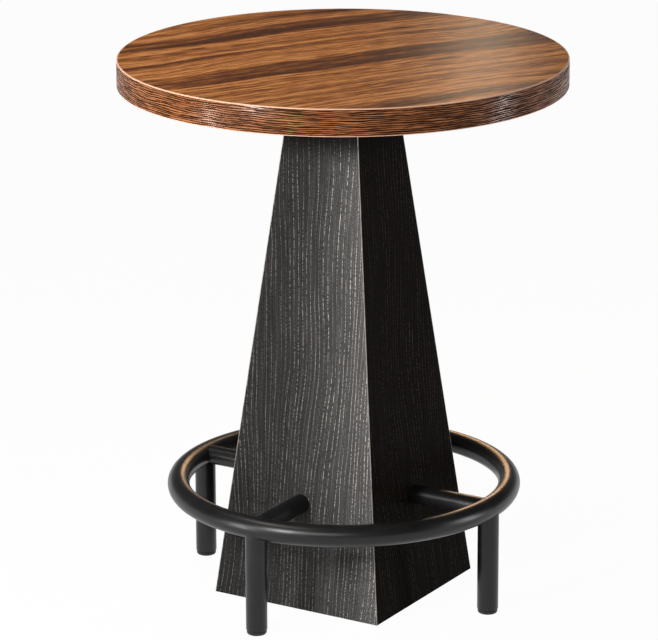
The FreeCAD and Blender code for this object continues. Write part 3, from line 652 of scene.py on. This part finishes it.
def black_oak(side, turn, seed, painted_sheen, strength):
    """Black oak laminate for one face, with a painted sheen towards its right edge, a painted shadow under
    the top and, on a face of low strength, painted shade.

    Turned back by the face's bearing, X runs across the face.
    """
    material, tree, shader = new_material(f"black_oak_{side}", roughness=0.42, specular=0.005)
    where = place_on(tree, turn=(0, 0, -turn))
    parts = node(tree, "ShaderNodeSeparateXYZ", {0: where}).outputs
    across, up = parts["X"], parts["Z"]

    def drift(across_scale, up_scale, offset, detail, rough):
        """Soft noise with its own scale across the face and up it."""
        spot = node(tree, "ShaderNodeCombineXYZ", {
            0: maths(tree, "MULTIPLY", across, across_scale),
            1: maths(tree, "MULTIPLY", up, up_scale), 2: offset}).outputs[0]
        return noise(tree, spot, size=1, detail=detail, rough=rough)

    lean = drift(3.2, 1.5, seed, detail=1, rough=0.4)
    waver = drift(24.0, 9.0, seed + 5, detail=2, rough=0.5)
    bent = maths(tree, "ADD", across, span(tree, lean, 0.2, 0.8, -0.042, 0.042, smooth=False))
    bent = maths(tree, "ADD", bent, span(tree, waver, 0.2, 0.8, -0.0016, 0.0016, smooth=False))
    rows = use(tree, pore_rows, Across=bent, Along=up, Spacing=0.0092, Bead=0.0031, Width=0.056,
               Seed=seed)["Pores"]
    small = use(tree, pore_rows, Across=bent, Along=up, Spacing=0.0037, Bead=0.0044, Width=0.14,
                Seed=seed + 31)["Pores"]
    upright = node(tree, "ShaderNodeCombineXYZ", {0: up, 1: bent, 2: seed}).outputs[0]
    streak = streaky(tree, upright, length=0.12, width=0.0032, detail=3, rough=0.6, seed=seed)
    fibre = streaky(tree, upright, length=0.014, width=0.0009, detail=2, rough=0.6, seed=seed + 2)

    # The stained wood, then the lime in its pores. On a face of low strength, both are painted darker as
    # painted shade.
    tone = maths(tree, "ADD", maths(tree, "MULTIPLY", streak, 0.6), maths(tree, "MULTIPLY", fibre, 0.4))
    colour = ramp(tree, tone, (0.36, (0.0140, 0.0138, 0.0139)), (0.5, (0.0185, 0.0183, 0.0184)),
                  (0.64, (0.0270, 0.0267, 0.0267)))
    colour = blended(tree, 1.0 - strength, colour, (0.0040, 0.0024, 0.0010))
    limed = maths(tree, "MAXIMUM", rows, maths(tree, "MULTIPLY", small, 0.18))
    lime = maths(tree, "MULTIPLY", limed, 0.18 + 0.76 * strength)
    colour = blended(tree, lime, colour, (0.290, 0.264, 0.238))

    # A painted sheen brightens it all towards the right edge, and a painted shadow darkens it under the
    # top.
    half_width = span(tree, up, panel_foot, panel_head, foot_half, head_half, smooth=False)
    sideways = maths(tree, "DIVIDE", across, half_width)
    pale = maths(tree, "POWER", span(tree, sideways, -1.0, 1.0, smooth=False), 2.6)
    gain = maths(tree, "ADD", 1.0, maths(tree, "MULTIPLY", pale, painted_sheen))
    colour = node(tree, "ShaderNodeVectorMath", {0: colour, "Scale": gain}, operation="SCALE").outputs[0]
    painted_shadow = span(tree, up, panel_head - 0.170, panel_head - 0.105, 0.0, 0.92)
    colour = blended(tree, painted_shadow, colour, (0.004, 0.0036, 0.0032))

    # The painted highlight along the arrises, of uneven width.
    inset = maths(tree, "SUBTRACT", half_width, maths(tree, "ABSOLUTE", across))
    arris_width_noise = noise(tree, where, size=0.012, detail=3)
    arris_highlight = maths(tree, "LESS_THAN", inset, span(tree, arris_width_noise, 0.3, 0.7, 0.0006, 0.0017, smooth=False))
    colour = blended(tree, maths(tree, "MULTIPLY", arris_highlight, 0.8), colour, (0.33, 0.30, 0.27))
    tree.links.new(colour, shader.inputs["Base Color"])
    rough = maths(tree, "ADD", span(tree, tone, 0.35, 0.65, 0.38, 0.31),
                  maths(tree, "MULTIPLY", limed, 0.2))
    tree.links.new(rough, shader.inputs["Roughness"])
    height = maths(tree, "SUBTRACT", maths(tree, "MULTIPLY", tone, 0.25), limed)
    relief(tree, shader, height, depth=0.00022, strength=0.55)
    return material


# Each face has its bearing, a seed for its figure, the gain of its painted sheen and the strength of its
# figure, set low to paint the face in shade.
faces = (("front", 0, 3.0, 2.8, 0.95),
         ("right", 90, 17.0, 0.1, 0.15),
         ("back", 180, 29.0, 1.0, 0.6),
         ("left", 270, 41.0, 0.6, 0.6))
for side, bearing, seed, painted_sheen, strength in faces:
    dress(black_oak(side, radians(bearing), seed, painted_sheen, strength), f"pedestal_skin_{side}")


# ---------------------------------------------------------------- pedestal: levelling feet
# Four hexagonal black nylon feet stand under the pedestal's corners. Each is moulded on a threaded
# zinc stud that screws up into a tee nut pressed in the base board.
def moulded_nylon():
    """Black moulded nylon, faintly mottled."""
    material, tree, shader = new_material("black_nylon", roughness=0.42, specular=0.3)
    where = place_on(tree)
    mottle = noise(tree, where, size=0.0014, detail=3, rough=0.6)
    cloud = noise(tree, where, size=0.02)
    colour = ramp(tree, cloud, (0.3, (0.0085, 0.0085, 0.0088)), (0.7, (0.0150, 0.0148, 0.0150)))
    tree.links.new(colour, shader.inputs["Base Color"])
    tree.links.new(span(tree, mottle, 0.3, 0.7, 0.36, 0.50), shader.inputs["Roughness"])
    relief(tree, shader, mottle, depth=0.00005, strength=0.5)
    return material


def rod(bm, centre, radius, low, high, facets, ends=True):
    """Adds an upright rod, or a tube without its ends, to a mesh and gives its points."""
    points = bmesh.ops.create_cone(bm, cap_ends=ends, cap_tris=False, segments=facets, radius1=radius,
                                   radius2=radius, depth=high - low)["verts"]
    bmesh.ops.translate(bm, verts=points, vec=(centre.x, centre.y, (low + high) / 2))
    return points


def threaded_stud(bm, centre, radius, foot, head, pitch=0.0015, steps=16):
    """Adds a stud to a mesh: a core with a helical thread wound round it."""
    root = radius - 0.6 * pitch
    sunk = root - 0.0001     # the thread's two edges lie just inside the core
    rod(bm, centre, root, foot, head, steps)
    tooth = [bm.verts.new((centre.x + out, centre.y, foot + up)) for out, up in
             ((sunk, 0), (radius, 0.5 * pitch), (sunk, pitch))]
    flanks = [bm.edges.new((tooth[0], tooth[1])), bm.edges.new((tooth[1], tooth[2]))]
    turns = int((head - foot) / pitch) - 1
    before = set(bm.verts)
    bmesh.ops.spin(bm, geom=tooth + flanks, cent=(centre.x, centre.y, 0), axis=(0, 0, 1),
                   dvec=(0, 0, pitch / steps), angle=2 * pi * turns, steps=steps * turns, use_merge=False,
                   use_normal_flip=False, use_duplicate=False)
    wound = tooth + [v for v in bm.verts if v not in before]
    bmesh.ops.remove_doubles(bm, verts=wound, dist=touching)


def two_materials(piece, moulding_top):
    """Gives a foot or a glide its black nylon, and zinc to the stud above the moulding."""
    piece.data.materials.append(nylon)
    piece.data.materials.append(zinc)
    for face in piece.data.polygons:
        face.material_index = 1 if face.center.z > moulding_top + touching else 0


nylon = moulded_nylon()
stud_radius = 0.005
hexagon_height = 0.0075
hexagon_easing = 0.0008
for number in corners:
    node_name = f"pedestal_leveller_{number}"
    low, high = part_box(node_name)
    centre = (low + high) / 2
    moulding_top = low.z + hexagon_height
    wide, deep = high.x - low.x, high.y - low.y
    bm = bmesh.new()
    foot = rod(bm, centre, min(wide, deep) / sqrt(3), low.z, moulding_top, 6)
    turn = 0 if wide > deep else radians(30)
    bmesh.ops.rotate(bm, verts=foot, cent=centre, matrix=Matrix.Rotation(turn, 3, "Z"))
    bmesh.ops.bevel(bm, geom=bm.edges[:], offset=hexagon_easing, segments=2, profile=0.5, affect="EDGES",
                    material=-1)
    threaded_stud(bm, centre, stud_radius, moulding_top, high.z)
    bmesh.ops.recalc_face_normals(bm, faces=bm.faces[:])
    leveller = placed(f"hexagon_foot_{number}", bm)
    two_materials(leveller, moulding_top)
    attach(leveller, f"{node_name}_body")
    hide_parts(node_name)
dress(zinc, "base_tee_nuts")

# ---------------------------------------------------------------- foot rail: ring
# One steel tube is bent to a full circle. Its ends are butt-welded and ground flush, and the whole
# foot rail is powder-coated satin black.
ring_low, ring_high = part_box("foot_ring")
ring_tube = (ring_high.z - ring_low.z) / 2
ring_height = (ring_high.z + ring_low.z) / 2
ring_radius = min(ring_high.x, ring_high.y) - ring_tube
ring_facets = 40
ring_steps = 200
bm = bmesh.new()
section = bmesh.ops.create_circle(bm, cap_ends=False, radius=ring_tube, segments=ring_facets)["verts"]
bmesh.ops.rotate(bm, verts=section, cent=(0, 0, 0), matrix=Matrix.Rotation(pi / 2, 3, "X"))
bmesh.ops.translate(bm, verts=section, vec=(ring_radius, 0, ring_height))
bmesh.ops.spin(bm, geom=bm.verts[:] + bm.edges[:], cent=(0, 0, 0), axis=(0, 0, 1), dvec=(0, 0, 0),
               angle=2 * pi, steps=ring_steps, use_merge=True, use_normal_flip=False, use_duplicate=False)
bmesh.ops.recalc_face_normals(bm, faces=bm.faces[:])
ring = placed("foot_rail_ring", bm)
ring.data.materials.append(coated_steel)
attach(ring, "table")
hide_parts("foot_ring")

# ---------------------------------------------------------------- foot rail: legs
# Four short steel tubes are coped to fit under the ring and welded there. Each open lower end is
# rolled in a little over the insert that carries its glide.
leg_radius = 0.0212
leg_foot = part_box("legs")[0].z
lip_width = 0.0034
lip_depth = 0.006
lip_rounding = 0.0022
weld_depth = 0.0002      # how far a coped end reaches into the ring
tube_facets = 48


def four_round(bm):
    """Copies what stands at the right of the table to its back, left and front."""
    first = bm.verts[:] + bm.edges[:] + bm.faces[:]
    for turn in (90, 180, 270):
        copied = bmesh.ops.duplicate(bm, geom=first)["geom"]
        bmesh.ops.rotate(bm, verts=[v for v in copied if isinstance(v, bmesh.types.BMVert)],
                         cent=(0, 0, 0), matrix=Matrix.Rotation(radians(turn), 3, "Z"))
    bmesh.ops.recalc_face_normals(bm, faces=bm.faces[:])


bm = bmesh.new()
leg_axis = Vector((ring_radius, 0))
tube = rod(bm, leg_axis, leg_radius, leg_foot, ring_height, tube_facets, ends=False)
rim = [e for e in bm.edges if all(v.co.z < leg_foot + touching for v in e.verts)]
for vert in tube:
    if vert.co.z > leg_foot + touching:
        off = hypot(vert.co.x, vert.co.y) - ring_radius
        vert.co.z = ring_height - sqrt(ring_tube ** 2 - off ** 2) + weld_depth
edge = rim
for inset, lift in ((lip_width, 0.0), (0.0, lip_depth)):
    lip = bmesh.ops.extrude_edge_only(bm, edges=edge)["geom"]
    edge = [e for e in lip if isinstance(e, bmesh.types.BMEdge) and e.is_boundary]
    for vert in [v for v in lip if isinstance(v, bmesh.types.BMVert)]:
        out = Vector((vert.co.x - ring_radius, vert.co.y, 0))
        vert.co -= out * (inset / out.length)
        vert.co.z += lift
bmesh.ops.bevel(bm, geom=rim, offset=lip_rounding, segments=4, profile=0.5, affect="EDGES", material=-1)
four_round(bm)
legs = placed("leg_tubes", bm)
legs.data.materials.append(coated_steel)
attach(legs, "table")
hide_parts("legs")
dress(nylon, "leg_inserts")

# ---------------------------------------------------------------- foot rail: spokes
# Four tubes hold the ring to the pedestal. Each is coped to the ring and welded to it, and its
# inner end is cut to the slope of the face that it is bolted against.
spoke_radius = 0.01905
face_gap = 0.0001        # keeps a spoke's cut end just clear of the face
slope = (foot_half - head_half) / (panel_head - panel_foot)
spoke_inner = foot_half - slope * (ring_height - panel_foot)
spoke_middle = (spoke_inner + ring_radius) / 2
bm = bmesh.new()
half_length = ring_radius - spoke_middle
tube = rod(bm, Vector((0, 0)), spoke_radius, -half_length, half_length, tube_facets, ends=False)
bmesh.ops.rotate(bm, verts=tube, cent=(0, 0, 0), matrix=Matrix.Rotation(pi / 2, 3, "Y"))
bmesh.ops.translate(bm, verts=tube, vec=(spoke_middle, 0, ring_height))
for vert in tube:
    rise = vert.co.z - ring_height
    if vert.co.x < spoke_middle:
        vert.co.x = spoke_inner - slope * rise + face_gap
    else:
        cope = ring_radius - sqrt(ring_tube ** 2 - rise ** 2)
        vert.co.x = sqrt(cope ** 2 - vert.co.y ** 2) + weld_depth
four_round(bm)
spokes = placed("spoke_tubes", bm)
spokes.data.materials.append(coated_steel)
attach(spokes, "table")
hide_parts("spokes")
dress(zinc, "spoke_plugs", "anchor_washers", "anchor_bolts")

# ---------------------------------------------------------------- foot rail: leg glides
# A domed black nylon glide closes each leg. It is moulded on a threaded zinc stud, which screws
# into the insert in the leg, so that the table can be levelled.
glide_radius = 0.020
glide_height = 0.008
glide_dome = 0.0042
for side in sides:
    node_name = f"leg_glide_{side}"
    low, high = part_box(node_name)
    centre = (low + high) / 2
    moulding_top = low.z + glide_height
    bm = bmesh.new()
    rod(bm, centre, glide_radius, low.z, moulding_top, tube_facets)
    sole = [e for e in bm.edges if all(v.co.z < low.z + touching for v in e.verts)]
    bmesh.ops.bevel(bm, geom=sole, offset=glide_dome, segments=5, profile=0.5, affect="EDGES", material=-1)
    threaded_stud(bm, centre, stud_radius, moulding_top, high.z)
    bmesh.ops.recalc_face_normals(bm, faces=bm.faces[:])
    glide = placed(f"glide_{side}", bm)
    two_materials(glide, moulding_top)
    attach(glide, f"{node_name}_body")
    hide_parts(node_name)
